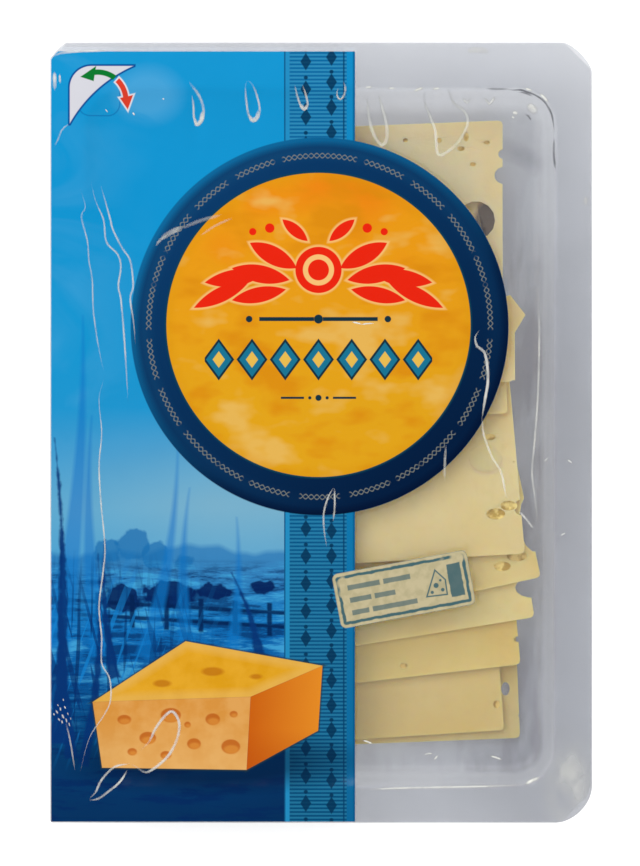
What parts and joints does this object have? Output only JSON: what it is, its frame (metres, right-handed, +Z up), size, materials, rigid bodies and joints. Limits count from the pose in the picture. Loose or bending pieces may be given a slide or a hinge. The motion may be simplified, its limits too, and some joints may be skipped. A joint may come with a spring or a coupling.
{
  "type": "pack of sliced cheese",
  "caption": "Sealed clear tray of fanned cheese slices with large eyes, closed by a part-printed peelable lidding film with a clear window.",
  "frame": {"origin": "middle of the footprint, on the surface the pack lies on, under the tray's floor", "axes": "+Z up through the printed film, +Y towards the end where the film is peeled, +X towards the clear window"},
  "size_m": [0.15, 0.216, 0.0176],
  "materials": {
    "clear_tray": "clear, glossy, a little grey",
    "printed_film": "glossy, printed at the left and clear at the right",
    "cheese": "smooth, slightly moist"
  },
  "bodies": {
    "root": {"tray": "clear_tray", "slice_1": "cheese", "slice_2": "cheese", "slice_3": "cheese", "slice_4": "cheese", "slice_5": "cheese", "slice_6": "cheese", "slice_7": "cheese", "slice_8": "cheese", "slice_9": "cheese", "lid_film": "printed_film"}
  },
  "joints": []
}
